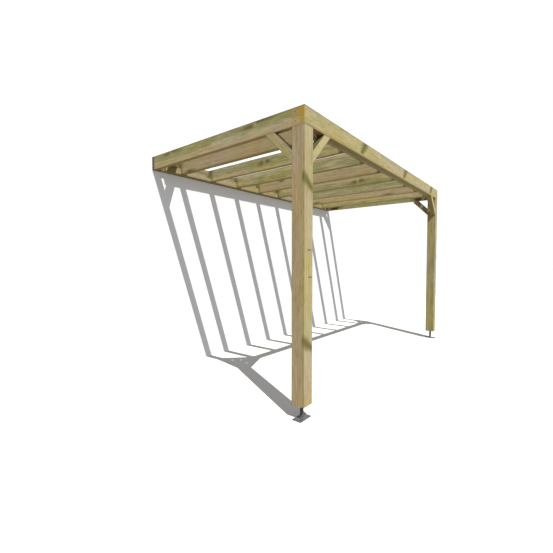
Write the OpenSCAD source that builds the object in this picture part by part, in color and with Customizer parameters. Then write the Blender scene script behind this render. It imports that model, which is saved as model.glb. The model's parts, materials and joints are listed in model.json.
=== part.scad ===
// Lean-to pergola: a flat timber roof frame screwed to a house wall along its
// back and carried on two braced posts at the front, each on a steel foot. The
// rafters run between two outer boards and sit on ledger strips at both ends.
// Millimetres. +X runs along the wall, +Y points into the wall and +Z is up.
// The origin is the middle of the wall plate's back face.

/* [Overall] */
// Width along the wall, over the side joists
span_x = 3920; // [2400:10:5000]
// Depth from the wall to the front of the front beam
depth_y = 2075; // [1200:5:3000]
// Height from the ground to the top of the roof frame
height_z = 2445; // [2000:5:3000]

/* [Roof frame] */
// Thickness of the roof boards
board_t = 45; // [30:1:60]
// Depth of the roof boards, on edge
board_h = 145; // [140:5:220]
// Height of the ledger strips under the rafters' ends
strip_h = 70; // [45:5:70]
// Number of rafters between the side joists
rafter_count = 8; // [3:1:10]
// Centre distance from a side joist to the rafter next to it
end_bay = 320; // [320:5:460]

/* [Posts] */
// Side of the square posts
post_w = 120; // [90:5:120]
// Gap that the feet leave between the ground and the posts
post_lift = 116; // [60:2:200]

/* [Braces] */
// Reach of a brace along each of the two timbers that it joins
brace_leg = 270; // [270:2:274]
// Depth of a brace, square to its slope
brace_depth = 70; // [45:1:84]
// Thickness of a brace
brace_t = 70; // [45:1:75]

/* [Feet] */
// Long side of a foot plate
plate_l = 150; // [120:2:240]
// Short side of a foot plate
plate_w = 84; // [70:2:160]
// Thickness of a foot plate
plate_t = 6; // [4:0.5:12]
// Diameter of the round stem
stem_d = 30; // [20:1:40]
// Length of the stem inside the post
stem_in_post = 120; // [60:5:200]
// Clearance around the stem in the post's bore
stem_gap = 0.5; // [0.2:0.1:2]
// Diameter of the anchor holes
anchor_d = 12; // [8:1:16]
// Distance from a hole's centre to the nearest plate edges
anchor_edge = 17; // [12:1:24]

/* [Hidden] */
$fn = 48;

// Outer faces of the whole frame
x_side = span_x / 2;
y_front = -depth_y;
z_top = board_h / 2;
z_under = -board_h / 2;
z_ground = z_top - height_z;

// Side joists and rafters fit between the front beam and the wall plate
joist_l = depth_y - 2 * board_t;

// Each post is cut back behind the boards to a tongue that fills their corner.
// The ledger strips reach from tongue to tongue.
tongue_w = post_w - board_t;
strip_l = span_x - 2 * post_w;
z_strip = z_under + strip_h;

// The rafters share out evenly what the two end bays leave
rafter_x0 = -x_side + board_t / 2 + end_bay;
rafter_pitch = -2 * rafter_x0 / (rafter_count - 1);

// Posts stand under the frame's corners, with their outer faces in line with it
z_post = z_ground + post_lift;
post_l = z_under - z_post;
x_post = x_side - post_w / 2;
y_post = y_front + post_w / 2;

// Length of the level and upright cuts at a brace's ends
brace_cut = brace_depth * sqrt(2);

wood = "burlywood";
wood_light = "wheat";
wood_dark = "tan";
steel = "dimgray";

SIDES = ["left", "right"];
ENDS = ["front", "rear"];

// Direction of a side along X
function dir(side) = side == "left" ? -1 : 1;

// Front face of the ledger strip at an end of the rafters
function strip_y(end) = end == "rear" ? -2 * board_t : y_front + board_t;

// A board on edge that runs along X, centred on the frame, from y to y + board_t
module beam(length, y, height) {
    translate([-length / 2, y, z_under])
        cube([length, board_t, height]);
}

// A board on edge that runs along Y, centred on x, from the front beam to the
// wall plate
module joist(x) {
    translate([x - board_t / 2, y_front + board_t, z_under])
        cube([board_t, joist_l, board_h]);
}

// Ledger on the wall, over the full width
module wall_plate() {
    color(wood_dark) beam(span_x, -board_t, board_h);
}

// Outer front beam, over the full width, with its end grain showing
module front_beam() {
    color(wood_light) beam(span_x, y_front, board_h);
}

// Strip along the foot of the front beam or the wall plate, under the rafters
module ledger_strip(end) {
    color(wood) beam(strip_l, strip_y(end), strip_h);
}

// Outer board of a side
module side_joist(side) {
    color(wood_dark) joist(dir(side) * (x_side - board_t / 2));
}

// Rafter number i, counted from the left, notched over both ledger strips
module rafter(i) {
    x = rafter_x0 + (i - 1) * rafter_pitch;
    color(wood)
        difference() {
            joist(x);
            for (end = ENDS)
                translate([x - board_t, strip_y(end) - (end == "front" ? board_t : 0),
                           z_under - strip_h])
                    cube([2 * board_t, 2 * board_t, 2 * strip_h]);
        }
}

// Post with a tongue up into the frame's corner, and a blind bore for its stem
// up the middle of its end grain
module post(side) {
    color(wood_light)
        mirror([dir(side) < 0 ? 0 : 1, 0, 0])
            translate([-x_post, y_post, z_post])
                difference() {
                    union() {
                        translate([-post_w / 2, -post_w / 2, 0])
                            cube([post_w, post_w, post_l]);
                        translate([post_w / 2 - tongue_w, post_w / 2 - tongue_w, 0])
                            cube([tongue_w, tongue_w, post_l + board_h]);
                    }
                    translate([0, 0, -stem_d])
                        cylinder(h = stem_d + stem_in_post, d = stem_d + 2 * stem_gap);
                }
}

// Outline of a brace in the corner of two timbers. The corner is at the origin
// and the timbers run from it along +X and -Y.
module brace_outline() {
    polygon([
        [brace_leg - brace_cut, 0],
        [brace_leg, 0],
        [0, -brace_leg],
        [0, brace_cut - brace_leg]
    ]);
}

// Brace from a post to the front beam, level with their front faces
module front_brace(side) {
    color(wood_light)
        mirror([dir(side) < 0 ? 0 : 1, 0, 0])
            translate([post_w - x_side, y_front + brace_t, z_under])
                rotate([90, 0, 0])
                    linear_extrude(brace_t)
                        brace_outline();
}

// Brace from a post to the side joist, level with their outer faces
module side_brace(side) {
    color(wood_dark)
        mirror([dir(side) < 0 ? 0 : 1, 0, 0])
            translate([-x_side, y_front + post_w, z_under])
                rotate([90, 0, 90])
                    linear_extrude(brace_t)
                        brace_outline();
}

// Level brace across a corner of the frame. It sits on the ledger strip and
// meets the outer boards.
module roof_brace(end, side) {
    color(wood)
        mirror([dir(side) < 0 ? 0 : 1, 0, 0])
            translate([board_t - x_side, end == "rear" ? -board_t : y_front + board_t, z_strip])
                mirror([0, end == "rear" ? 0 : 1, 0])
                    linear_extrude(brace_t)
                        brace_outline();
}

// Steel plate on the ground with four anchor holes. The left one lies along
// the front beam and the right one along the side joist.
module foot_plate(side) {
    color(steel)
        translate([dir(side) * x_post, y_post, z_ground])
            rotate([0, 0, side == "left" ? 0 : 90])
                difference() {
                    translate([-plate_l / 2, -plate_w / 2, 0])
                        cube([plate_l, plate_w, plate_t]);
                    for (x = [-1, 1], y = [-1, 1])
                        translate([
                            x * (plate_l / 2 - anchor_edge),
                            y * (plate_w / 2 - anchor_edge),
                            -plate_t
                        ])
                            cylinder(h = 3 * plate_t, d = anchor_d);
                }
}

// Round steel stem, welded to the plate and let into the post
module foot_stem(side) {
    color(steel)
        translate([dir(side) * x_post, y_post, z_ground + plate_t])
            cylinder(h = post_lift - plate_t + stem_in_post, d = stem_d);
}

wall_plate();
front_beam();
for (end = ENDS) {
    ledger_strip(end);
    for (side = SIDES)
        roof_brace(end, side);
}
for (i = [1:rafter_count])
    rafter(i);
for (side = SIDES) {
    side_joist(side);
    post(side);
    front_brace(side);
    side_brace(side);
    foot_plate(side);
    foot_stem(side);
}
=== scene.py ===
"""A lean-to pergola of pressure-treated pine on two steel feet.

Everything is in metres: +X along the wall, +Y into the wall and +Z up, with
the origin in the middle of the wall plate's back face.
"""

import json
from functools import partial

import bmesh
import bpy
import numpy as np
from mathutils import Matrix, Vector


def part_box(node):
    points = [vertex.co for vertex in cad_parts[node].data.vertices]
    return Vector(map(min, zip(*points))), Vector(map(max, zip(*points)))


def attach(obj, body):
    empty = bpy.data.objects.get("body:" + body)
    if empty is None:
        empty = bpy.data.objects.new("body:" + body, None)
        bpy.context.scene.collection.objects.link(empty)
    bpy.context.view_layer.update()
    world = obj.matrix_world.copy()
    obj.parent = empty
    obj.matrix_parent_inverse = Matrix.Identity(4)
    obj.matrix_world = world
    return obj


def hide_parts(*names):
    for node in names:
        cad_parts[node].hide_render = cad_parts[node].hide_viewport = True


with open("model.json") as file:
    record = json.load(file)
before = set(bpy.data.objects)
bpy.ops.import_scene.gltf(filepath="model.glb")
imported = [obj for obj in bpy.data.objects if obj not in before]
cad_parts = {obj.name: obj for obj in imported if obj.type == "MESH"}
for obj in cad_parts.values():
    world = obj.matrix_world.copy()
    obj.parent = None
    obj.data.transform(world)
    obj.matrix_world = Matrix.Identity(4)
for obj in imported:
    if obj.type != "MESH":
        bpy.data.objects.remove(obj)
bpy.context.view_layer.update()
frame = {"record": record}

# ---------------------------------------------------------------------------
# Foot plates
# Flat steel plates, flame cut and drilled for four ground anchors. The left
# one lies along the front beam, the right one along the side joist.
# ---------------------------------------------------------------------------

SIDES = ("left", "right")
TINY = 1e-9  # keeps divisors off nought


def plug(owner, node, sockets):
    """Sets or links a shader node's sockets by name or number, and returns the node."""
    for key, value in sockets.items():
        number = key[1:]
        socket = node.inputs[int(number) if number.isdigit() else key.replace("_", " ")]
        if isinstance(value, bpy.types.NodeSocket):
            owner.node_tree.links.new(value, socket)
        else:
            socket.default_value = value
    return node


def link_up(owner, kind, settings=None, **sockets):
    """Adds one shader node to a material or the world, with its settings and sockets."""
    node = owner.node_tree.nodes.new(kind)
    for key, value in (settings or {}).items():
        setattr(node, key, value)
    return plug(owner, node, sockets)


def stretch(owner, vector, scale, shift=(0, 0, 0)):
    """vector * scale + shift, so that a pattern runs long in one direction."""
    return link_up(
        owner, "ShaderNodeVectorMath", {"operation": "MULTIPLY_ADD"},
        i0=vector, i1=scale, i2=shift,
    ).outputs[0]


def noise(owner, vector, detail=2.0, roughness=0.5, scale=1.0):
    """Soft noise around 0.5 at the given vector."""
    return link_up(
        owner, "ShaderNodeTexNoise",
        Vector=vector, Scale=scale, Detail=detail, Roughness=roughness,
    ).outputs[0]


def fade(owner, value, low, high, to_low=0.0, to_high=1.0):
    """Smooth step from to_low, where value is under low, to to_high, where it is over high."""
    return link_up(
        owner, "ShaderNodeMapRange", {"interpolation_type": "SMOOTHSTEP"},
        Value=value, From_Min=low, From_Max=high, To_Min=to_low, To_Max=to_high,
    ).outputs[0]


def blend(owner, share, first, second, mode="MIX"):
    """Mixes two colours, by share of the second."""
    return link_up(
        owner, "ShaderNodeMix", {"data_type": "RGBA", "blend_type": mode},
        i0=share, i6=first, i7=second,
    ).outputs[2]


def srgb(red, green, blue):
    """A colour given as it looks on a screen, 0 to 255, as linear RGBA: each share c of 255 is
    c / 12.92 up to 0.04045, and ((c + 0.055) / 1.055) to the power 2.4 above it."""
    c = np.array([red, green, blue]) / 255
    linear = np.where(c <= 0.04045, c / 12.92, ((c + 0.055) / 1.055) ** 2.4)
    return (*linear.tolist(), 1.0)


def new_material(name):
    """A material and its Principled shader, ready for links."""
    mat = bpy.data.materials.new(name)
    mat.use_nodes = True
    return mat, mat.node_tree.nodes["Principled BSDF"]


def make_piece(name, vertices, faces, materials, node=None):
    """Puts a computed surface into a mesh at the origin, in place of its CAD node, if any."""
    mesh = bpy.data.meshes.new(name)
    mesh.from_pydata(vertices.tolist(), [], faces)
    for mat in materials:
        mesh.materials.append(mat)
    piece = bpy.data.objects.new(name, mesh)
    bpy.context.scene.collection.objects.link(piece)
    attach(piece, "root")
    if node:
        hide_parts(node)
    return piece


def ring_faces(rows, columns):
    """Quads between closed rings of points, one ring of so many columns to a row."""
    row, column = np.meshgrid(np.arange(rows - 1), np.arange(columns), indexing="ij")
    following = (column + 1) % columns
    return np.stack(
        [row * columns + column, row * columns + following,
         (row + 1) * columns + following, (row + 1) * columns + column], -1,
    ).reshape(-1, 4)


def coated_steel():
    """Dark grey coated steel: a fine orange-peel coat, cloudy greys, and paler scuffs."""
    dark_coat, light_coat, scuffed = srgb(85, 89, 88), srgb(104, 108, 106), srgb(130, 133, 130)
    mat, shader = new_material("coated steel")
    place = link_up(mat, "ShaderNodeTexCoord").outputs["Object"]
    clouds = noise(mat, place, detail=4, roughness=0.6, scale=28)
    peel = noise(mat, place, detail=2, scale=900)
    scuffs = noise(mat, stretch(mat, place, (90, 260, 40)), detail=5, roughness=0.7)
    colour = blend(mat, fade(mat, clouds, 0.35, 0.7), dark_coat, light_coat)
    colour = blend(mat, fade(mat, scuffs, 0.60, 0.72, 0, 0.45), colour, scuffed)
    bump = link_up(mat, "ShaderNodeBump", Height=peel, Strength=0.25, Distance=0.0004)
    plug(mat, shader, {
        "Base Color": colour,
        "Roughness": fade(mat, clouds, 0.3, 0.7, 0.42, 0.6),
        "Specular IOR Level": 0.25,
        "Normal": bump.outputs[0],
    })
    return mat


STEEL = coated_steel()
HOLE_EDGE = 0.017  # from an anchor hole's centre to the nearest plate edges
HOLE_RADIUS = 0.006
HOLE_POINTS = 24
PLATE_BEVEL = 0.0008
SHARP_TURN = 0.7  # in radians: edges that turn further are eased
SAME_PLACE = 1e-6


def quarter_plate(half, hole):
    """A quarter of the plate's face, whose far corner is at half: each ray from the hole's
    centre runs from the hole's rim to the rectangle's edge. That edge is at the smaller of
    edge distance / |ray component| over both directions. A ray goes to each corner too."""
    corners = np.array([[0, 0], [half[0], 0], [half[0], half[1]], [0, half[1]]]) - hole
    turn = np.sort(np.concatenate([
        np.linspace(0, 2 * np.pi, HOLE_POINTS, endpoint=False),
        np.arctan2(corners[:, 1], corners[:, 0]) % (2 * np.pi),
    ]))
    ray = np.stack([np.cos(turn), np.sin(turn)], 1)
    reach = np.where(ray > 0, half - hole, hole) / np.maximum(np.abs(ray), TINY)
    return hole + ray * HOLE_RADIUS, hole + ray * reach.min(1, keepdims=True)


def walls(first, second, top_ring, under_ring, count):
    """Upright quads from the top ring to the ring under it, at the given places in a ring."""
    top, under = top_ring * count, under_ring * count
    return np.column_stack([top + first, under + first, under + second, top + second])


for side in SIDES:
    low, high = (np.array(c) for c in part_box(f"foot_plate_{side}"))
    middle, half = (low + high) / 2, (high - low) / 2
    rim, edge = quarter_plate(half[:2], half[:2] - HOLE_EDGE)
    count = len(rim)
    loop = np.concatenate([rim, edge, rim, edge])
    level = np.repeat([high[2], high[2], low[2], low[2]], count)

    # the top, the underside and the hole's wall, then the outer wall where both rays met one
    # of the plate's outer edges
    top = ring_faces(2, count)
    first = np.arange(count)
    second = (first + 1) % count
    met_edge = np.abs(np.stack([edge[first], edge[second]]) - half[:2]) < SAME_PLACE
    outer = met_edge.all(0).any(1)
    quarter = np.concatenate([
        top, top[:, ::-1] + 2 * count,
        walls(first, second, 0, 2, count), walls(first[outer], second[outer], 1, 3, count),
    ])
    vertices, faces = [], []
    for number, mirrored in enumerate(((-1, -1), (-1, 1), (1, -1), (1, 1))):
        vertices.append(np.column_stack([middle[:2] + loop * mirrored, level]))
        faces.append(quarter + number * len(loop))
    plate = make_piece(f"foot_plate_{side}_steel", np.concatenate(vertices),
                       np.concatenate(faces).tolist(), [STEEL], f"foot_plate_{side}")
    merged = bmesh.new()
    merged.from_mesh(plate.data)
    bmesh.ops.remove_doubles(merged, verts=merged.verts, dist=SAME_PLACE)
    bmesh.ops.recalc_face_normals(merged, faces=merged.faces)
    merged.to_mesh(plate.data)
    merged.free()
    eased = plate.modifiers.new("eased edges", "BEVEL")
    eased.width, eased.segments = PLATE_BEVEL, 2
    eased.limit_method, eased.angle_limit = "ANGLE", SHARP_TURN

# ---------------------------------------------------------------------------
# Foot stems
# Round steel bars, fillet welded to the plates by hand and let into the
# posts, so that the end grain stays clear of the wet ground.
# ---------------------------------------------------------------------------

WELD = 0.006  # leg of the fillet weld
LAP_HEIGHT, LAPS = 0.0006, 22  # of the weld's laps, and how many go round
STEM_CHAMFER = 0.0015
STEM_POINTS, WELD_POINTS = 64, 7  # round the bar, and along the weld's hollow
STEM_SHARP = 0.8  # in radians: edges that turn further stay sharp


def turned(profile, centre, ripple, count):
    """Turns a profile of radius and height about an upright axis, to (radius cos, radius sin,
    height). The radius gets an added ripple, which is given as an array over the profile and
    the turn. A flat face closes each end."""
    turn = np.linspace(0, 2 * np.pi, count, endpoint=False)
    radius = profile[:, :1] + ripple(profile, turn)
    points = np.stack([
        centre[0] + radius * np.cos(turn), centre[1] + radius * np.sin(turn),
        np.broadcast_to(profile[:, 1:], radius.shape),
    ], -1).reshape(-1, 3)
    last = len(points) - count
    faces = ring_faces(len(profile), count).tolist()
    faces += [list(range(count))[::-1], list(range(last, last + count))]
    return points, faces


def weld_laps(profile, turn):
    """A small sine wave round the bar, a little uneven in pace, that dies out up the weld."""
    share = np.clip(1 - (profile[:, 1:] - profile[0, 1]) / WELD, 0, 1)
    return share * LAP_HEIGHT * np.sin(LAPS * turn + 1.3 * np.sin(3 * turn))


for side in SIDES:
    low, high = (np.array(c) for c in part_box(f"foot_stem_{side}"))
    radius = (high[0] - low[0]) / 2
    bend = np.linspace(0, np.pi / 2, WELD_POINTS)
    weld = np.column_stack([
        radius + WELD * (1 - np.sin(bend)), low[2] + WELD * (1 - np.cos(bend)),
    ])
    top = [[radius, high[2] - STEM_CHAMFER], [radius - STEM_CHAMFER, high[2]]]
    profile = np.concatenate([weld, top])
    points, faces = turned(profile, (low + high) / 2, weld_laps, STEM_POINTS)
    stem = make_piece(f"foot_stem_{side}_steel", points, faces, [STEEL],
                      f"foot_stem_{side}")
    stem.data.shade_smooth()
    stem.data.set_sharp_from_angle(angle=STEM_SHARP)

# ---------------------------------------------------------------------------
# Posts
# Square pine posts with boxed heart: planed, eased along their arrises and
# pressure treated, so that the sapwood is greenish and the heart stays pink.
# ---------------------------------------------------------------------------

RING_WIDTH = 0.0042
BRANCH_RINGS = 6.0  # in a branch's radius
KNOT_SEAM = 0.03  # where a knot dies out before the next one's stretch
SOAK_DEPTH = 0.07  # how far the stain reaches in from an end


def maths(owner, operation, *values, clamp=False):
    """One Math node on up to three numbers or sockets."""
    return link_up(
        owner, "ShaderNodeMath", {"operation": operation, "use_clamp": clamp},
        **{f"i{k}": v for k, v in enumerate(values)},
    ).outputs[0]


def split(mat, attribute):
    """The three parts of a vector attribute."""
    vector = link_up(mat, "ShaderNodeAttribute", {"attribute_name": attribute}).outputs["Vector"]
    return link_up(mat, "ShaderNodeSeparateXYZ", i0=vector).outputs


def treated_pine(name, end_grain):
    """Solid pine that is the same inside and out, from attributes with three parts each.

    'grain' holds a point's place in its log: along it, and across it from the pith. Rings are
    the distance from the pith, with a slow wander, and they bend round the nearest branch.
    'knot' holds the place round that branch in its radii, along the piece and beside, and how
    far out along the branch. 'board' holds the heart's radius, how far the treatment has
    greened the board, and its tone. 'section' is the place in the section from its middle,
    and the distance to the nearer stained end. 'half' is half the section, and the distance
    along the piece to where one knot's stretch meets the next. 'weather' says how far the ends
    have soaked, how grey the upper face turns (over 1, a browner painted shade there), and how
    brown the lower edge turns.
    """
    mat, shader = new_material(name)
    add, less, times, times_add, larger, unsigned = (
        partial(maths, mat, kind)
        for kind in ("ADD", "SUBTRACT", "MULTIPLY", "MULTIPLY_ADD", "MAXIMUM", "ABSOLUTE"))
    place = link_up(mat, "ShaderNodeAttribute", {"attribute_name": "grain"}).outputs["Vector"]
    board, knot, section, half, weather_and_shade = (
        split(mat, kind) for kind in ("board", "knot", "section", "half", "weather_and_shade"))

    def figure(along, across, shift=(0, 0, 0), detail=3, roughness=0.6):
        """Noise in the wood, by its pace in a metre along the grain and across it."""
        return noise(mat, stretch(mat, place, (along, across, across), shift), detail, roughness)

    def swing(pattern, size):
        """A noise about zero: size * (noise - 0.5)."""
        return times_add(pattern, size, -size / 2)

    def tinted(colour, *tints):
        """Lays tints over a colour. The share of each fades with a noise, as fade says."""
        for pattern, low, high, to_low, to_high, tint in tints:
            colour = blend(mat, fade(mat, pattern, low, high, to_low, to_high), colour, tint)
        return colour

    # from slow bands to fine fibres, each at its own shift so that no two agree
    bands = figure(0.9, 20, detail=2, roughness=0.5)
    streaks = figure(1.9, 60)
    wisps = figure(4.5, 140, (3, 8, 5), roughness=0.65)
    flecks = figure(14, 70, (2, 9, 4))
    fibres = figure(16, 800, detail=2, roughness=0.7)
    blotches = figure(5.5, 24, (7, 3, 1), detail=4, roughness=0.65)
    blush = figure(3.5, 18, (1, 6, 8))
    patches = figure(1.5, 12, (5, 2, 8), detail=1, roughness=0.5)

    # the branch shrinks towards the pith and is ragged. It dies out at the ends of its stretch.
    girth = fade(mat, knot[2], -0.01, 0.09, 0.55, 1.15)
    ragged = add(swing(blotches, 1.6), swing(wisps, 1.2))
    grown = times(fade(mat, knot[2], 0.0, 0.012), fade(mat, half[2], 0.0, KNOT_SEAM))

    def reach(run):
        """Ragged distance from the branch's axis in its girths: the root of along / run squared
        plus beside squared, over the girth."""
        ahead = maths(mat, "DIVIDE", knot[0], run)
        squares = add(times(ahead, ahead), times(knot[1], knot[1]))
        return add(maths(mat, "DIVIDE", maths(mat, "SQRT", squares), girth), ragged)

    away, halo_away = reach(1.0), reach(1.5)
    swell = times(grown, fade(mat, away, 0.6, 3.6, 1, 0))

    # a ring darkens slowly outwards and ends sharply
    across = stretch(mat, place, (0, 1, 1))
    radius = link_up(mat, "ShaderNodeVectorMath", {"operation": "LENGTH"}, i0=across)
    radius = add(add(radius.outputs["Value"], swing(bands, 0.030)), times(swell, 0.016))
    ring = maths(mat, "FRACT", times_add(radius, 1 / RING_WIDTH, times(streaks, 0.8)))
    late = times(fade(mat, ring, 0.35, 0.88), fade(mat, ring, 0.9, 1.0, 1, 0))

    # sapwood is cream, ochre and grey-green in streaks, and greener outwards
    cream, straw, ochre = srgb(209, 200, 157), srgb(189, 177, 124), srgb(205, 184, 117)
    grey_green, rose = srgb(177, 180, 131), srgb(204, 173, 135)
    pale_green, olive_green = srgb(169, 170, 119), srgb(136, 133, 78)
    streak = fade(mat, streaks, 0.34, 0.66)
    colour = tinted(
        blend(mat, streak, cream, straw),
        (bands, 0.40, 0.62, 0, 0.55, ochre),
        (blotches, 0.48, 0.66, 0, 0.65, grey_green),
        (blush, 0.50, 0.66, 0, 0.6, rose),
    )
    outside = less(radius, board[0])
    green = add(add(swing(blotches, 1.1), swing(streaks, 1.1)), board[1])
    green = add(green, add(fade(mat, outside, 0.0, 0.08, -0.2, 0.3), times(swell, 0.25)))
    greened = blend(mat, fade(mat, wisps, 0.38, 0.62), pale_green, olive_green)
    colour = blend(mat, fade(mat, green, 0.0, 0.45, 0, 0.9), colour, greened)

    # the heart is pinkish, and a thin broken resin line follows its edge
    light_pink, dark_pink = srgb(208, 179, 144), srgb(189, 160, 119)
    inward = times_add(streaks, 0.04, add(outside, -0.02))
    heart = times(fade(mat, inward, -0.022, 0.018, 1, 0), fade(mat, flecks, 0.35, 0.6, 0.3, 0.7))
    colour = blend(mat, heart, colour, blend(mat, streak, light_pink, dark_pink))
    resin = times(fade(mat, unsigned(outside), 0.0012, 0.0040, 1, 0),
                  fade(mat, blush, 0.48, 0.64, 0, 0.5))
    colour = blend(mat, resin, colour, srgb(130, 100, 58))

    # fine figure over both: wisps and flecks, dark and light, then late wood and fibres
    colour = tinted(
        colour,
        (wisps, 0.52, 0.72, 0, 0.50, srgb(150, 128, 74)),
        (wisps, 0.28, 0.48, 0.4, 0, srgb(216, 206, 164)),
        (flecks, 0.54, 0.74, 0, 0.6, srgb(152, 138, 78)),
        (flecks, 0.26, 0.46, 0.55, 0, srgb(214, 193, 150)),
    )
    colour = blend(mat, times(late, 0.2), colour, srgb(140, 114, 68))
    colour = tinted(colour, (fibres, 0.45, 0.75, 0, 0.15, srgb(132, 112, 72)))

    # round the knot the wood is dark olive, then a thin bark line, then the branch's own rings
    halo = times(grown, fade(mat, halo_away, 0.5, 2.1, 0.85, 0))
    colour = blend(mat, halo, colour, srgb(122, 116, 60))
    branch_ring = maths(mat, "FRACT", times(away, BRANCH_RINGS))
    branch = blend(mat, branch_ring, srgb(100, 92, 46), srgb(126, 112, 60))
    colour = blend(mat, times(grown, fade(mat, away, 0.4, 1.1, 0.8, 0)), colour, branch)
    bark = times(fade(mat, away, 0.86, 0.97), fade(mat, away, 1.0, 1.14, 1, 0))
    bark = times(grown, bark)
    colour = blend(mat, times(bark, 0.35), colour, srgb(86, 70, 38))

    # the treatment soaks in from the ends and stains them olive brown, or ochre where soak is
    # negative, and it gathers where both faces of an arris are near
    end_ochre, end_olive = srgb(204, 160, 88), srgb(104, 90, 46)
    from_end = times_add(streaks, -0.08, section[2])
    soaked = times(fade(mat, from_end, 0.0, SOAK_DEPTH, 0.75, 0), unsigned(weather_and_shade[0]))
    stain = blend(mat, fade(mat, weather_and_shade[0], -0.1, 0.1), end_ochre, end_olive)
    colour = blend(mat, soaked, colour, stain)
    arris = larger(*(less(half[k], unsigned(section[k])) for k in (0, 1)))
    arris = fade(mat, times_add(wisps, -0.008, arris), -0.003, 0.004, 0.55, 0)
    colour = blend(mat, arris, colour, srgb(136, 120, 72))

    # the lower edge and the face under it turn browner
    lower_brown = times_add(streaks, -0.03, add(half[0], section[0]))
    lower_brown = times(fade(mat, lower_brown, -0.012, 0.014, 0.75, 0), weather_and_shade[2])
    colour = blend(mat, lower_brown, colour, srgb(158, 138, 84))

    # a cut end is amber and darker outwards, or dull where it has soaked
    if end_grain:
        rays = figure(3, 260, roughness=0.7)
        amber = blend(mat, fade(mat, radius, 0.045, 0.165), srgb(196, 172, 88), srgb(212, 158, 44))
        cut = blend(mat, fade(mat, weather_and_shade[0], 0.1, 0.9), amber, srgb(126, 120, 82))
        colour = blend(mat, times_add(rays, 0.3, 0.65), colour, cut)

    # the upper face, just round its arris, and whatever looks straight up turn greyer, by an
    # amount from the piece. Where that amount is over 1, the face takes a browner painted shade
    # and the arris stays clean.
    below_top = times(less(half[0], section[0]), maths(mat, "POWER", weather_and_shade[1], 3.0))
    uneven = fade(mat, blotches, 0.3, 0.7, 0.65, 0.9)
    wet = times(fade(mat, times_add(wisps, -0.006, below_top), 0.0, 0.007, 1, 0), uneven)
    wet = times(wet, weather_and_shade[1], clamp=True)
    normal = link_up(mat, "ShaderNodeNewGeometry").outputs["Normal"]
    upward = link_up(mat, "ShaderNodeSeparateXYZ", i0=normal).outputs[2]
    wet = larger(wet, times(fade(mat, upward, 0.75, 0.95), uneven))
    grey = blend(mat, streak, srgb(118, 110, 84), srgb(92, 84, 58))
    # painted shade, for the faces that look into the corners of the post braces
    grey = blend(mat, less(weather_and_shade[1], 1.0, clamp=True), grey, srgb(84, 70, 34))
    colour = blend(mat, wet, colour, grey)

    # the whole board's tone, in patches that are yellower or greyer
    blue = times(board[2], fade(mat, patches, 0.36, 0.64, 1.14, 0.86))
    tone = link_up(mat, "ShaderNodeCombineXYZ", i0=board[2], i1=board[2], i2=blue).outputs[0]
    height = less(add(times(late, 0.7), times(fibres, 0.8)), times(bark, 1.5))
    bump = link_up(mat, "ShaderNodeBump", Height=height, Strength=0.5, Distance=0.0003)
    plug(mat, shader, {
        "Base Color": blend(mat, 1.0, colour, tone, "MULTIPLY"),
        "Roughness": times_add(late, -0.12, fade(mat, fibres, 0.3, 0.8, 0.66, 0.82)),
        "Specular IOR Level": 0.3,
        "Normal": bump.outputs[0],
    })
    return mat


PINE = treated_pine("treated pine", False)
PINE_END = treated_pine("treated pine end grain", True)
STATION = 0.12  # longest stretch between rings of points along a timber
ARRIS, END_ARRIS = 0.003, 0.0015
ARRIS_POINTS = 4  # round each arris
SAME_WAY = 0.8  # cosine over which a face counts as looking the way that its normals point
CROSS_GRAIN = 0.5  # cosine over which a face counts as end grain
FAR_OFF = 9.0  # from a knot, where a timber has none


def block(low, high):
    """A box to cut away, from its low corner to its high one."""
    shape = bmesh.new()
    bmesh.ops.create_cube(shape, size=1.0)
    for vertex in shape.verts:
        vertex.co = [h if c > 0 else l for c, l, h in zip(vertex.co, low, high)]
    return shape


def carve(piece, shapes):
    """Cuts shapes out of a piece, and keeps the result as its mesh."""
    cutters = []
    for shape in shapes:
        mesh = bpy.data.meshes.new("cutter")
        shape.to_mesh(mesh)
        shape.free()
        cutter = bpy.data.objects.new("cutter", mesh)
        bpy.context.scene.collection.objects.link(cutter)
        cut = piece.modifiers.new("cut", "BOOLEAN")
        cut.object, cut.solver, cut.operation = cutter, "EXACT", "DIFFERENCE"
        cutters.append(cutter)
    bpy.context.view_layer.update()
    carved = piece.evaluated_get(bpy.context.evaluated_depsgraph_get())
    piece.data = bpy.data.meshes.new_from_object(carved)
    piece.modifiers.clear()
    for cutter in cutters:
        bpy.data.objects.remove(cutter)


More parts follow.
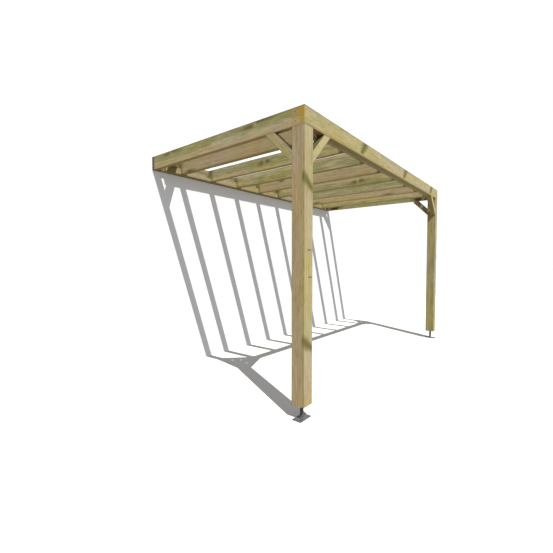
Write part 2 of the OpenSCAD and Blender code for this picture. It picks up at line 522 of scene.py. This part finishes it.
def swept(axes, origin, length, half, ease, cuts, seams):
    """A rectangle with round arrises, the corner centres at half plus ease * (cos, sin),
    carried along the piece from one end plane to the other. Towards each end the section draws
    in by up to END_ARRIS, for the end's own arris. Cuts lean an end plane over, by its slope
    across the piece. A ring of points stands at every seam between two knots' stretches."""
    along, across, out = axes
    corner = np.repeat(np.arange(4), ARRIS_POINTS)
    turn = np.deg2rad(corner * 90 + np.tile(np.linspace(0, 90, ARRIS_POINTS), 4))
    centre_a = np.where((corner == 0) | (corner == 3), 1, -1) * half[0]
    centre_b = np.where(corner < 2, 1, -1) * half[1]

    bend = np.linspace(0, np.pi / 2, ARRIS_POINTS)
    ends, insets = END_ARRIS * (1 - np.cos(bend)), END_ARRIS * (1 - np.sin(bend))
    between = np.linspace(END_ARRIS, length - END_ARRIS, max(3, int(length / STATION)))[1:-1]
    between = np.sort(np.concatenate([between, seams]))
    place = np.concatenate([ends, between, length - ends[::-1]])
    inset = np.concatenate([insets, np.zeros(len(between)), insets[::-1]])
    a = centre_a + (ease - inset[:, None]) * np.cos(turn)
    b = centre_b + (ease - inset[:, None]) * np.sin(turn)
    share = (place / length)[:, None]
    s = place[:, None] + a * (cuts[0] * (1 - share) + cuts[1] * share)
    points = origin + s[..., None] * along + a[..., None] * across + b[..., None] * out

    rows, columns = a.shape
    sides = ring_faces(rows, columns)
    caps = [list(range(columns)), list(range((rows - 1) * columns, rows * columns))]
    if np.dot(np.cross(across, out), along) < 0:
        sides = sides[:, ::-1]
        caps[1].reverse()
    else:
        caps[0].reverse()
    return points.reshape(-1, 3), sides.tolist() + caps


def store(mesh, name, values, domain="POINT"):
    """Keeps three numbers for every point, or every face corner, as an attribute."""
    layer = mesh.attributes.new(name, "FLOAT_VECTOR", domain)
    layer.data.foreach_set("vector", values.astype(np.float32).ravel())


def round_knots(knots, seams, here, middle):
    """Where each face corner lies from the axis of its face's knot, which leans along the
    piece: (along - knot - lean * out) / radius along, beside / radius beside, and out, which
    is counted along the branch."""
    owner = np.searchsorted(seams, middle)
    at, root, toward, radius, lean = (
        np.array([k[i] for k in knots], float)[owner] for i in range(5))
    toward = toward / np.linalg.norm(toward, axis=1, keepdims=True)
    offset = here[:, 1:] - root
    out_along = (offset * toward).sum(1)
    beside = offset[:, 0] * toward[:, 1] - offset[:, 1] * toward[:, 0]
    return np.column_stack([
        (here[:, 0] - at - lean * out_along) / radius[:, 0], beside / radius[:, 1], out_along])


def round_arrises(mesh, here, face_of, half, axes, face_normal):
    """Keeps the flats flat and makes the arrises round: a side's normal points away from the
    nearest corner centre, and an end's or a notch's is its face's own."""
    rim = np.sign(here[:, 1:]) * np.maximum(np.abs(here[:, 1:]) - half, 0.0)
    rim /= np.maximum(np.linalg.norm(rim, axis=1, keepdims=True), TINY)
    normal = rim @ axes[1:]
    outward = np.zeros(face_normal.shape)
    np.add.at(outward, face_of, normal)
    outward /= np.maximum(np.linalg.norm(outward, axis=1, keepdims=True), TINY)
    own = ((outward * face_normal).sum(1) < SAME_WAY)[face_of]
    normal[own] = face_normal[face_of][own]
    mesh.shade_smooth()
    mesh.normals_split_custom_set(normal.tolist())


def timber(node, slot, along, across, out, pith, heart, green, tone, knots=(), shift=0.0,
           ease=ARRIS, length=None, origin=None, size=None, cuts=(0.0, 0.0), cutters=(),
           soak=0.0, wet=0.0, lower_edge_brown=0.0):
    """A sawn and planed piece in its CAD node's box, or from origin with its own length and
    size. Pith is the log's heart across and out from the piece's middle, and shift is where
    along the log the piece starts. Soak darkens both ends, or stains the first one ochre where
    it is negative. The grey amount greys the face at the far side across, and over 1 paints a
    browner shade on it. The lower brown amount browns the edge at the near side and the face
    there. Shapes in cutters are cut away."""
    axes = np.array([along, across, out], float)
    if origin is None:
        low, high = (np.array(c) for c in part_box(node))
        length, *size = np.abs(axes @ (high - low))
        origin = (low + high) / 2 - axes[0] * length / 2
    half = np.array(size) / 2 - ease
    knots = sorted(knots, key=lambda k: k[0])
    seams = [(first[0] + second[0]) / 2 for first, second in zip(knots, knots[1:])]
    points, faces = swept(axes, origin, length, half, ease, cuts, seams)
    piece = make_piece(f"{node}_timber", points, faces, [PINE, PINE_END], node)
    if cutters:
        carve(piece, cutters)
    mesh = piece.data

    # every point, and every corner of every face, in the piece's own directions
    spots = np.zeros(len(mesh.vertices) * 3)
    mesh.vertices.foreach_get("co", spots)
    local = (spots.reshape(-1, 3) - origin) @ axes.T
    corners = np.zeros(len(mesh.loops), int)
    mesh.loops.foreach_get("vertex_index", corners)
    here = local[corners]
    totals = np.array([p.loop_total for p in mesh.polygons])
    face_of = np.repeat(np.arange(len(totals)), totals)
    middle = np.zeros(len(totals))
    np.add.at(middle, face_of, here[:, 0])
    middle = (middle / totals)[face_of]

    to_end = local[:, 0] if soak < 0 else np.minimum(local[:, 0], length - local[:, 0])
    to_seam = np.abs(local[:, :1] - np.array(seams or [FAR_OFF])).min(1)
    store(mesh, "grain", local + [shift, -pith[0], -pith[1]])
    for name, values in (
        ("section", (local[:, 1], local[:, 2], to_end)),
        ("board", (heart, green, tone)),
        ("half", (size[0] / 2, size[1] / 2, to_seam)),
        ("weather_and_shade", (soak, wet, lower_edge_brown)),
    ):
        store(mesh, name, np.column_stack([np.broadcast_to(v, len(local)) for v in values]))
    near = np.full((len(corners), 3), (FAR_OFF, FAR_OFF, -1.0))
    if knots:
        near = round_knots(knots, seams, here, middle)
    store(mesh, "knot", near, "CORNER")

    face_normal = np.array([p.normal[:] for p in mesh.polygons])
    end_grain = np.abs(face_normal @ axes[0]) > CROSS_GRAIN
    mesh.polygons.foreach_set("material_index", end_grain.astype(np.int32))
    round_arrises(mesh, here, face_of, half, axes, face_normal)


UP, ALONG_WALL, TO_WALL = (0, 0, 1), (1, 0, 0), (0, 1, 0)
DOWN, LEFTWARD, AWAY = (0, 0, -1), (-1, 0, 0), (0, -1, 0)
POST_ARRIS = 0.004
CLEAR = 0.02  # how far a cut reaches past the faces that it goes through


def shoulder(side):
    """The two boxes cut off a post's top, where the roof boards sit. They leave a tongue in
    the corner between the boards."""
    low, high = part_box(f"post_{side}")
    beam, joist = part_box("front_beam"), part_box(f"side_joist_{side}")
    seat, top = beam[0][2], high[2] + CLEAR
    left = joist[0][0] - (CLEAR if side == "left" else 0)
    right = joist[1][0] + (CLEAR if side == "right" else 0)
    return [
        block((low[0] - CLEAR, low[1] - CLEAR, seat), (high[0] + CLEAR, beam[1][1], top)),
        block((left, low[1] - CLEAR, seat), (right, high[1] + CLEAR, top)),
    ]


def knot_at(place, root, toward, girth, lean=0.0):
    """A branch: its place along the piece, where it starts and which way it grows, both across
    and out, its radii along and beside, and how far it leans along for each metre outwards."""
    return place, root, toward, girth, lean


timber("post_left", "posts", UP, ALONG_WALL, AWAY, pith=(-0.040, -0.006), heart=0.060,
       green=-0.02, tone=1.02, ease=POST_ARRIS, soak=-0.3, cutters=shoulder("left"), knots=[
           knot_at(0.448, (0.060, 0.059), (-1, 0), (0.022, 0.013), 0.64),
           knot_at(1.021, (0.024, 0.0), (0, 1), (0.003, 0.018)),
           knot_at(1.234, (0.008, 0.0), (0, 1), (0.003, 0.018)),
           knot_at(1.709, (0.060, 0.059), (-1, 0), (0.022, 0.013), 0.69),
       ])
timber("post_right", "posts", UP, ALONG_WALL, AWAY, pith=(0.012, -0.030), heart=0.045,
       green=0.05, tone=0.92, shift=5.3, ease=POST_ARRIS, cutters=shoulder("right"), knots=[
           knot_at(1.230, (0.0, 0.0), (0.2, 1), (0.016, 0.011), 0.2),
       ])

# ---------------------------------------------------------------------------
# Wall plate and ledger strips
# The plate is a board on edge, bolted to the wall over the full width. The
# strips are screwed along its foot and the front beam's, under the rafters.
# ---------------------------------------------------------------------------

BEHIND = 0.05  # from a board's middle to the start of a branch, behind its other face


def face_knot(place, across, girth, lean=0.0, toward=1):
    """A knot that grows straight through a board's outer face, or its inner one at -1."""
    return knot_at(place, (across, -BEHIND * toward), (0, toward), girth, lean)


timber("wall_plate", "roof_boards", ALONG_WALL, UP, AWAY, pith=(0.05, -0.09), heart=0.07,
       green=0.15, tone=0.66, shift=11.0, soak=1.0, wet=1.0, knots=[
           knot_at(0.9, (0, -BEHIND), (0.2, 1), (0.02, 0.012), 0.2),
           face_knot(2.9, 0.03, (0.02, 0.014), 0.2),
       ])
timber("ledger_strip_rear", "roof_boards", ALONG_WALL, UP, AWAY, pith=(-0.06, 0.05), heart=0.05,
       green=-0.05, tone=0.75, shift=17.0, knots=[
           face_knot(0.62, 0.02, (0.02, 0.012), 0.2),
           face_knot(2.1, -0.02, (0.02, 0.01), 0.2),
       ])
timber("ledger_strip_front", "roof_boards", ALONG_WALL, UP, AWAY, pith=(-0.09, 0.04), heart=0.04,
       green=0.05, tone=0.95, shift=31.0, knots=[
           face_knot(1.2, 0, (0.02, 0.012), 0.2),
           face_knot(2.7, 0, (0.02, 0.013), 0.2),
       ])

# ---------------------------------------------------------------------------
# Side joists
# Boards on edge that close the frame's sides, butted between the front beam
# and the wall plate. Two screws on each hold them to the post's tongue.
# ---------------------------------------------------------------------------

SCREW_RADIUS = 0.0042
SCREW_PLAY = 0.0002  # round a screw's head in its hole
SCREW_SINK = 0.0014  # depth of the hole that a screw's head lies in
SCREW_DROPS = (0.034, 0.105)  # below the frame's top
SCREW_BACK = 0.085  # from the frame's front to the screws into the posts' tongues
HOLE_SIDES = 32


def facing(out):
    """The turn that points +Z outwards."""
    return Vector(out).to_track_quat("Z", "Y").to_matrix()


def screw_hole(place, out):
    """A round plug to cut away, from as far above a face as it is deep."""
    turn = facing(out).to_4x4()
    turn.translation = place
    shape = bmesh.new()
    radius = SCREW_RADIUS + SCREW_PLAY
    bmesh.ops.create_cone(shape, cap_ends=True, segments=HOLE_SIDES, radius1=radius,
                          radius2=radius, depth=2 * SCREW_SINK, matrix=turn)
    return shape


def screws_into_post(side):
    """Places of the two screws on the outside of a side joist, and the direction out of it."""
    low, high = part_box(f"side_joist_{side}")
    face, out = (low[0], LEFTWARD) if side == "left" else (high[0], ALONG_WALL)
    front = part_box("front_beam")[0][1]
    return [((face, front + SCREW_BACK, high[2] - drop), out) for drop in SCREW_DROPS]


timber("side_joist_left", "roof_boards", TO_WALL, UP, LEFTWARD, pith=(-0.13, 0.03), heart=0.09,
       green=0.16, tone=1.08, shift=23.0, soak=-0.45, wet=1.0,
       cutters=[screw_hole(*screw) for screw in screws_into_post("left")], knots=[
           face_knot(0.38, 0.064, (0.070, 0.014)),
           face_knot(0.54, 0.040, (0.040, 0.012)),
           face_knot(1.62, 0.064, (0.060, 0.014)),
           face_knot(1.73, 0.046, (0.040, 0.012)),
       ])
timber("side_joist_right", "roof_boards", TO_WALL, UP, ALONG_WALL, pith=(0.10, 0.02), heart=0.05,
       green=0.1, tone=1.18, shift=29.0, soak=0.6, wet=1.0,
       cutters=[screw_hole(*screw) for screw in screws_into_post("right")], knots=[
           face_knot(0.27, -0.042, (0.045, 0.022), toward=-1),
           face_knot(1.84, -0.036, (0.070, 0.020), toward=-1),
       ])

# ---------------------------------------------------------------------------
# Rafters
# Boards on edge between the front beam and the wall plate, notched over the
# ledger strips. Each was cut from its own log, so heart, green and knots differ.
# ---------------------------------------------------------------------------

FIRST_LOG, LOG_STEP = 37.0, 4.1
# pith across and out, heart radius, green, tone, knots
RAFTERS = [
    ((-0.03, 0.06), 0.11, -0.05, 0.99, [face_knot(1.76, -0.058, (0.040, 0.013))]),
    ((-0.14, 0.03), 0.06, 0.12, 1.14, [face_knot(0.985, 0.014, (0.026, 0.017)),
                                       face_knot(1.070, 0.008, (0.028, 0.018))]),
    ((0.13, 0.06), 0.05, 0.08, 1.17, []),
    ((-0.08, 0.04), 0.11, 0.08, 1.03, [face_knot(1.50, 0.045, (0.024, 0.010))]),
    ((0.12, 0.04), 0.08, 0.06, 1.09, [face_knot(0.50, -0.016, (0.026, 0.016)),
                                      face_knot(0.590, -0.026, (0.024, 0.016)),
                                      face_knot(1.94, 0.036, (0.040, 0.014))]),
    ((-0.15, 0.05), 0.05, 0.12, 1.19, [face_knot(1.62, 0.050, (0.020, 0.008))]),
    ((-0.03, 0.05), 0.08, 0.06, 1.12, [face_knot(0.474, -0.052, (0.045, 0.011)),
                                       face_knot(1.785, -0.052, (0.045, 0.011))]),
    ((0.09, 0.05), 0.08, 0.10, 1.17, [face_knot(0.628, 0.036, (0.048, 0.013))]),
]


def notch(end):
    """The box cut out of a rafter's foot over a ledger strip, out through the rafter's end."""
    low, high = (np.array(c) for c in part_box(f"ledger_strip_{end}"))
    if end == "front":
        return block(low - (0, CLEAR, CLEAR), high)
    return block(low - (0, 0, CLEAR), high + (0, CLEAR, 0))


for number, (pith, heart, green, tone, knots) in enumerate(RAFTERS, 1):
    timber(f"rafter_{number}", "roof_boards", TO_WALL, UP, LEFTWARD, pith, heart, green, tone,
           knots, shift=FIRST_LOG + LOG_STEP * number, cutters=[notch("front"), notch("rear")],
           soak=1.0, wet=1.0, lower_edge_brown=0.5)

# ---------------------------------------------------------------------------
# Front beam
# The outer board on edge over the full width. Its end grain shows at both
# corners, and three spike knots cross its face.
# ---------------------------------------------------------------------------

SCREW_INSETS = (0.0225, 0.077)  # from the beam's ends, to the side joist and the post's tongue
low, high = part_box("front_beam")
FRONT_SCREWS = [((x, low[1], high[2] - drop), AWAY) for inset in SCREW_INSETS
                for x in (low[0] + inset, high[0] - inset) for drop in SCREW_DROPS]
timber("front_beam", "roof_boards", ALONG_WALL, UP, AWAY, pith=(-0.11, -0.03), heart=0.04,
       green=-0.3, tone=0.96, shift=80.0, wet=1.0, lower_edge_brown=1.0,
       cutters=[screw_hole(*screw) for screw in FRONT_SCREWS],
       knots=[knot_at(at, (-0.055, 0.022), (1, 0), (0.027, 0.018), 0.77)
              for at in (1.002, 2.246, 3.476)])

# ---------------------------------------------------------------------------
# Screws
# Coated countersunk screws with a six-lobed recess, sunk just below the faces
# of the front beam and the side joists at the front corners.
# ---------------------------------------------------------------------------

RECESS, LOBE = 0.0019, 0.0003  # mean radius of the six-lobed recess, and its lobes' height
HEAD_DROP = 0.0005  # from the wood's face down to the head's
HEAD_CHAMFER = 0.0002
HEAD_POINTS = 48
HEAD = np.array([
    [SCREW_RADIUS, -SCREW_SINK], [SCREW_RADIUS, -HEAD_DROP - HEAD_CHAMFER],
    [SCREW_RADIUS - HEAD_CHAMFER, -HEAD_DROP], [RECESS, -HEAD_DROP],
    [RECESS - 0.0001, -SCREW_SINK],
])


def coated_screw():
    """Dull olive-brown coated steel, a little cloudy."""
    mat, shader = new_material("coated screw")
    place = link_up(mat, "ShaderNodeTexCoord").outputs["Object"]
    clouds = noise(mat, place, detail=3, scale=600)
    plug(mat, shader, {
        "Base Color": blend(mat, clouds, srgb(84, 76, 52), srgb(122, 112, 80)),
        "Metallic": 0.7,
        "Roughness": 0.45,
    })
    return mat


def lobes(profile, turn):
    """Six lobes, a cosine round the recess, which is everything within its own radius."""
    return np.where(profile[:, :1] <= RECESS, LOBE * np.cos(6 * turn), 0.0)


head, head_faces = turned(HEAD, (0, 0), lobes, HEAD_POINTS)
points, faces = [], []
for place, out in FRONT_SCREWS + screws_into_post("left") + screws_into_post("right"):
    faces += [[corner + len(head) * len(points) for corner in face] for face in head_faces]
    points.append(head @ np.array(facing(out)).T + place)
make_piece("corner_screws", np.concatenate(points), faces, [coated_screw()])

# ---------------------------------------------------------------------------
# Braces
# Short square pine struts across the corners, their ends cut at 45 degrees:
# two from each post to the boards over it, and four level ones in the roof.
# ---------------------------------------------------------------------------

low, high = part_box("roof_brace_front_left")
BRACE_DEPTH = high[2] - low[2]
BRACE_ARRIS = 0.0025
LOG_PART = 2.7  # how far on in their logs the left braces lie, and how far back the right ones


def brace(node, run, rise, out, shift, **look):
    """A strut along run + rise. Its ends are cut at 45 degrees to lie flat on the two timbers
    that it joins, and its face at the far side across looks into their corner."""
    low, high = (np.array(c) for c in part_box(node))
    run, rise, out = (np.array(v, float) for v in (run, rise, out))
    leg, cut = abs((high - low) @ run), BRACE_DEPTH * np.sqrt(2)
    foot = (low + high) / 2 - run * leg / 2 + rise * (cut / 2 - leg / 2)
    timber(node, "braces", (run + rise) / np.sqrt(2), (rise - run) / np.sqrt(2), out, shift=shift,
           ease=BRACE_ARRIS, origin=foot, length=(leg - cut / 2) * np.sqrt(2),
           size=(BRACE_DEPTH, abs((high - low) @ out)), cuts=(1.0, -1.0), **look)


# heart radius, green and tone of the braces from the posts to the side joists
SIDE_BRACES = {"left": (0.08, -0.3, 1.02), "right": (0.04, 0.1, 0.95)}
for side, (heart, green, tone) in SIDE_BRACES.items():
    inward = 1 if side == "left" else -1
    # the grey amount of 1.6 paints a browner shade on each post brace's face that looks into its
    # corner
    brace(f"front_brace_{side}", (inward, 0, 0), UP, AWAY, 123.0 + LOG_PART * inward,
          pith=(0.03, -0.05), heart=0.02, green=-0.45, tone=1.12, wet=1.6)
    brace(f"side_brace_{side}", TO_WALL, UP, (-inward, 0, 0), 131.0 + LOG_PART * inward,
          pith=(0.03, -0.05), heart=heart, green=green, tone=tone, wet=1.6)
    for end, rise, shift in (("front", AWAY, 147.0), ("rear", TO_WALL, 146.0)):
        brace(f"roof_brace_{end}_{side}", (inward, 0, 0), rise, DOWN, shift + LOG_PART * inward,
              pith=(0.05, -0.06), heart=0.03, green=0.05, tone=0.95)

# ---------------------------------------------------------------------------
# Stage
# A white floor and a white backdrop where the wall would be, high sunlight from
# the front left and an even sky. The camera stands 1.25 m over the ground.
# ---------------------------------------------------------------------------

REACH = 60.0
SHEET_GAP = 0.0005  # keeps the sheets off the object's faces
FLOOR_PAINT, NO_GLOW = (1.0, 0.97, 0.86), (0, 0, 0)
WALL_PAINT, WALL_GLOW = (1, 1, 1), (0.127, 0.137, 0.168)


def stage_sheet(name, corners, paint, glow):
    """A flat sheet, white in the sun, that keeps shadows. It is clear from behind, and the
    object's light passes it. Its glow lifts the shadows by a red, green and blue amount."""
    mesh = bpy.data.meshes.new(name)
    mesh.from_pydata(corners, [], [(0, 1, 2, 3)])
    sheet = bpy.data.objects.new(name, mesh)
    bpy.context.scene.collection.objects.link(sheet)
    mat, shader = new_material(name)
    white = link_up(mat, "ShaderNodeBsdfDiffuse", Color=(*paint, 1))
    lamp = link_up(mat, "ShaderNodeEmission", Color=(*glow, 1), Strength=1.0)
    both = link_up(mat, "ShaderNodeAddShader", i0=white.outputs[0], i1=lamp.outputs[0])
    clear = link_up(mat, "ShaderNodeBsdfTransparent")
    behind = link_up(mat, "ShaderNodeNewGeometry").outputs["Backfacing"]
    mix = link_up(mat, "ShaderNodeMixShader", i0=behind, i1=both.outputs[0], i2=clear.outputs[0])
    plug(mat, mat.node_tree.nodes["Material Output"], {"Surface": mix.outputs[0]})
    mat.node_tree.nodes.remove(shader)
    mesh.materials.append(mat)
    sheet.visible_diffuse = sheet.visible_shadow = sheet.visible_transmission = False


ground = frame["record"]["mounts"][1]["pos_m"][2]  # the second mount stands on it
floor_z, wall_y = ground - SHEET_GAP, SHEET_GAP
stage_sheet("floor", [
    (-REACH, -REACH, floor_z), (REACH, -REACH, floor_z),
    (REACH, REACH, floor_z), (-REACH, REACH, floor_z),
], FLOOR_PAINT, NO_GLOW)
stage_sheet("backdrop", [
    (-REACH, wall_y, floor_z), (REACH, wall_y, floor_z),
    (REACH, wall_y, REACH), (-REACH, wall_y, REACH),
], WALL_PAINT, WALL_GLOW)

SUN_TRAVEL = Vector((0.3292, 0.634, -1.0))
SUN_STRENGTH, SUN_WIDTH = 1.33, 0.15  # on a face turned to it, and in degrees
sun = bpy.data.objects.new("sun", bpy.data.lights.new("sun", "SUN"))
sun.data.energy = SUN_STRENGTH * np.pi
sun.data.angle = np.deg2rad(SUN_WIDTH)
sun.rotation_euler = SUN_TRAVEL.to_track_quat("-Z", "Y").to_euler()
bpy.context.scene.collection.objects.link(sun)

# the sky lights the object evenly, and what comes up from below is dimmer and warm. Cameras and
# glossy faces see plain white.
SKYLIGHT, GROUNDLIGHT = (0.295, 0.305, 0.35, 1), (0.20, 0.175, 0.105, 1)
HORIZON = 0.05  # half the height of the change from one to the other
sky = bpy.data.worlds.new("sky")
bpy.context.scene.world = sky
sky.use_nodes = True
direction = link_up(sky, "ShaderNodeTexCoord").outputs["Generated"]
height = link_up(sky, "ShaderNodeSeparateXYZ", i0=direction).outputs["Z"]
above = link_up(sky, "ShaderNodeMapRange", Value=height, From_Min=-HORIZON, From_Max=HORIZON)
tint = blend(sky, above.outputs[0], GROUNDLIGHT, SKYLIGHT)
even_sky = plug(sky, sky.node_tree.nodes["Background"], {"Color": tint, "Strength": 1.0})
white_sky = link_up(sky, "ShaderNodeBackground", Color=(1, 1, 1, 1), Strength=1.0)
rays = link_up(sky, "ShaderNodeLightPath").outputs
looking = rays["Is Camera Ray"]
for ray in ("Is Glossy Ray", "Is Transmission Ray"):
    looking = maths(sky, "MAXIMUM", looking, rays[ray])
choose = link_up(sky, "ShaderNodeMixShader",
                 i0=looking, i1=even_sky.outputs[0], i2=white_sky.outputs[0])
plug(sky, sky.node_tree.nodes["World Output"], {"Surface": choose.outputs[0]})

camera = bpy.data.objects.new("camera", bpy.data.cameras.new("camera"))
camera.data.lens = 22.15
camera.data.clip_end = 300
camera.location = (-4.130, -3.537, -1.123)
camera.rotation_euler = np.deg2rad((87.705, 0, -51.383))
bpy.context.scene.collection.objects.link(camera)
bpy.context.scene.camera = camera
bpy.context.scene.view_settings.view_transform = "Standard"
